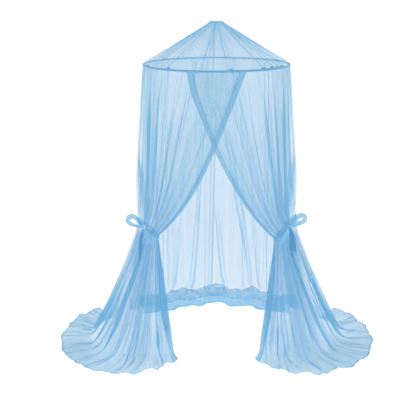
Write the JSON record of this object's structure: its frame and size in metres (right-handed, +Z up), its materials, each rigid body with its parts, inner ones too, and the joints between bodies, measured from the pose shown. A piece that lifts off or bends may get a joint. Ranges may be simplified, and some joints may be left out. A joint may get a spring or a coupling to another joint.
{
  "type": "mosquito net canopy with hoop",
  "caption": "Sheer round bed canopy: net hung from a hoop under a cone, front drops tied back to the sides, hems lying on the floor.",
  "frame": {"origin": "middle of the flat top face of the crown disc, where the canopy hangs from the ceiling", "axes": "+Z up, -Y out of the front opening, +X to the right when facing the front; the floor is the plane z = -2.406 m"},
  "size_m": [2.441, 1.419, 2.4052],
  "materials": {
    "net_cloth": "sheer light blue net",
    "sewn_band": "folded net, several layers sewn together",
    "tie_strip": "folded strip of the same cloth, lightly shiny",
    "hoop_rod": "plain satin rod"
  },
  "bodies": {
    "root": {"crown_disc": "sewn_band", "roof": "net_cloth", "hoop": "hoop_rod", "hoop_casing": "sewn_band", "left_panel": "net_cloth", "right_panel": "net_cloth", "back_panel": "net_cloth", "left_tie": "tie_strip", "right_tie": "tie_strip"}
  },
  "joints": []
}
